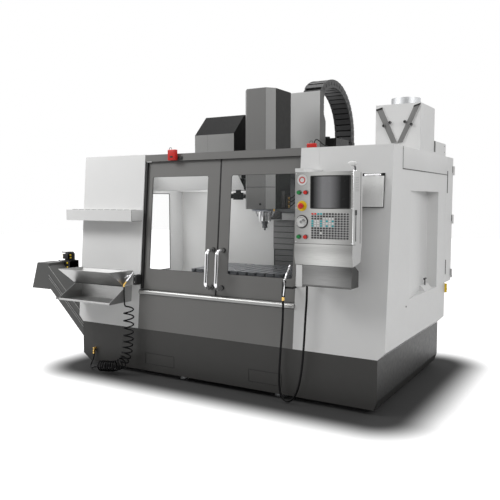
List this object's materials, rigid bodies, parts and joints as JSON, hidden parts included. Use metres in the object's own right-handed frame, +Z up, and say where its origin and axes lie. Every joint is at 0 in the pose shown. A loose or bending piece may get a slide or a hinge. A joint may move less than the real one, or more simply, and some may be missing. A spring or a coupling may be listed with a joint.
{
  "type": "vertical machining centre",
  "caption": "Enclosed vertical milling machine with sliding doors, control pendant, side tool changer, cable carrier and chip auger.",
  "frame": {"origin": "middle of the whole machine's box at floor level, hoses left out", "axes": "+X to the operator's right, +Y from the doors to the column at the back, +Z up"},
  "size_m": [3.605, 2.7372, 2.7215],
  "materials": {
    "white_paint": "semi-gloss",
    "grey_paint": "semi-gloss",
    "light_grey_paint": "semi-gloss",
    "charcoal_paint": "satin",
    "cast_paint": "satin",
    "steel": "ground",
    "stainless": "brushed",
    "chrome": "polished",
    "black_plastic": "matte",
    "red_plastic": "gloss",
    "green_plastic": "gloss",
    "orange_plastic": "gloss",
    "black_hose": "matte",
    "grey_hose": "satin",
    "clear_window": "clear",
    "screen_glass": "dull",
    "key_field": "printed film",
    "aluminium": "anodised"
  },
  "bodies": {
    "machine_frame": {"levelling_pads": "steel", "base_casting": "cast_paint", "base_skirt": "charcoal_paint", "door_frame": "grey_paint", "left_front_panel": "white_paint", "left_side_panel": "white_paint", "left_side_window": "clear_window", "right_front_panel": "white_paint", "right_side_panel": "white_paint", "side_access_panel": "white_paint", "enclosure_liner": "white_paint", "interlock_switches": "red_plastic", "electrical_cabinet": "white_paint", "mist_extractor": "white_paint", "tool_shelf": "stainless", "parts_tray": "stainless", "auger_trough": "charcoal_paint", "column_casting": "cast_paint", "bed_rails": "steel", "column_rails": "steel", "column_shutter": "stainless", "tool_changer_housing": "light_grey_paint", "pendant_arm": "white_paint", "clipboard": "aluminium", "air_hose_coil": "black_hose", "air_hose_tails": "black_hose", "air_gun": "orange_plastic", "wash_hose": "grey_hose", "wash_gun": "orange_plastic"},
    "left_door": {"left_door": "grey_paint", "left_door_window": "clear_window", "left_door_handle": "chrome"},
    "right_door": {"right_door": "grey_paint", "right_door_window": "clear_window", "right_door_handle": "chrome"},
    "saddle": {"saddle": "cast_paint"},
    "work_table": {"work_table": "steel"},
    "head": {"head_casting": "cast_paint", "head_cover": "grey_paint", "column_cover_plate": "light_grey_paint"},
    "spindle": {"spindle": "steel", "tool_holder": "steel"},
    "cable_carrier": {"cable_carrier": "black_plastic"},
    "tool_carousel": {"tool_carousel": "black_plastic"},
    "tool_arm": {"tool_arm": "steel"},
    "pendant": {"pendant_housing": "stainless", "pendant_screen": "screen_glass", "pendant_keys": "key_field", "pendant_bin": "stainless", "beacon_lamp": "black_plastic"},
    "power_on_button": {"power_on_button": "green_plastic"},
    "power_off_button": {"power_off_button": "red_plastic"},
    "cycle_start_button": {"cycle_start_button": "green_plastic"},
    "feed_hold_button": {"feed_hold_button": "red_plastic"},
    "emergency_stop": {"emergency_stop": "red_plastic"},
    "jog_handwheel": {"jog_handwheel": "black_plastic"},
    "electrical_cabinet_door": {"electrical_cabinet_door": "white_paint"},
    "disconnect_handle": {"disconnect_handle": "red_plastic"},
    "access_latch": {"access_latch": "black_plastic"},
    "auger_screw": {"auger_screw": "steel"}
  },
  "joints": [
    {"name": "left_door_slide", "type": "slide", "parent": "machine_frame", "child": "left_door", "axis": [-1, 0, 0], "range_m": [0, 0.6]},
    {"name": "right_door_slide", "type": "slide", "parent": "machine_frame", "child": "right_door", "axis": [1, 0, 0], "range_m": [0, 0.55]},
    {"name": "y_axis", "type": "slide", "parent": "machine_frame", "child": "saddle", "axis": [0, 1, 0], "range_m": [-0.33, 0.33]},
    {"name": "x_axis", "type": "slide", "parent": "saddle", "child": "work_table", "axis": [1, 0, 0], "range_m": [-0.595, 0.421]},
    {"name": "z_axis", "type": "slide", "parent": "machine_frame", "child": "head", "axis": [0, 0, 1], "range_m": [-0.335, 0.3]},
    {"name": "spindle_spin", "type": "hinge", "parent": "head", "child": "spindle", "pos_m": [0.3385, -0.2125, 1.6], "axis": [0, 0, 1], "continuous": true},
    {"name": "carrier_slide", "type": "slide", "parent": "machine_frame", "child": "cable_carrier", "axis": [0, 0, 1], "range_m": [-0.18, 0.16]},
    {"name": "carousel_spin", "type": "hinge", "parent": "machine_frame", "child": "tool_carousel", "pos_m": [-0.2615, 0.2335, 1.955], "axis": [1, 0, 0], "continuous": true},
    {"name": "tool_arm_swing", "type": "hinge", "parent": "machine_frame", "child": "tool_arm", "pos_m": [0.0535, -0.2125, 1.6], "axis": [0, 0, 1], "range_deg": [-18, 18]},
    {"name": "pendant_swivel", "type": "hinge", "parent": "machine_frame", "child": "pendant", "pos_m": [1.2285, -1.2345, 1.6], "axis": [0, 0, 1], "range_deg": [-45, 0]},
    {"name": "power_on_press", "type": "slide", "parent": "pendant", "child": "power_on_button", "axis": [0, 1, 0], "range_m": [0, 0.004], "stiffness_N_per_m": 400},
    {"name": "power_off_press", "type": "slide", "parent": "pendant", "child": "power_off_button", "axis": [0, 1, 0], "range_m": [0, 0.004], "stiffness_N_per_m": 400},
    {"name": "cycle_start_press", "type": "slide", "parent": "pendant", "child": "cycle_start_button", "axis": [0, 1, 0], "range_m": [0, 0.004], "stiffness_N_per_m": 400},
    {"name": "feed_hold_press", "type": "slide", "parent": "pendant", "child": "feed_hold_button", "axis": [0, 1, 0], "range_m": [0, 0.004], "stiffness_N_per_m": 400},
    {"name": "emergency_stop_press", "type": "slide", "parent": "pendant", "child": "emergency_stop", "axis": [0, 1, 0], "range_m": [0, 0.005]},
    {"name": "jog_wheel_spin", "type": "hinge", "parent": "pendant", "child": "jog_handwheel", "pos_m": [1.2535, -1.3165, 1.351], "axis": [0, -1, 0], "continuous": true},
    {"name": "cabinet_door_hinge", "type": "hinge", "parent": "machine_frame", "child": "electrical_cabinet_door", "pos_m": [1.7955, 0.7555, 1.32], "axis": [0, 0, 1], "range_deg": [0, 110]},
    {"name": "disconnect_turn", "type": "hinge", "parent": "machine_frame", "child": "disconnect_handle", "pos_m": [1.7515, 0.5265, 0.694], "axis": [0, 1, 0], "range_deg": [0, 90]},
    {"name": "access_latch_turn", "type": "hinge", "parent": "machine_frame", "child": "access_latch", "pos_m": [1.7435, 0.0335, 0.8], "axis": [0, 0, 1], "range_deg": [0, 90]},
    {"name": "auger_spin", "type": "hinge", "parent": "machine_frame", "child": "auger_screw", "pos_m": [-1.3115, -0.9665, 0.52616], "axis": [-0.7236, 0, 0.6903], "continuous": true}
  ],
  "couplings": [
    {"joint": "carrier_slide", "follows": "z_axis", "ratio": 0.5}
  ]
}
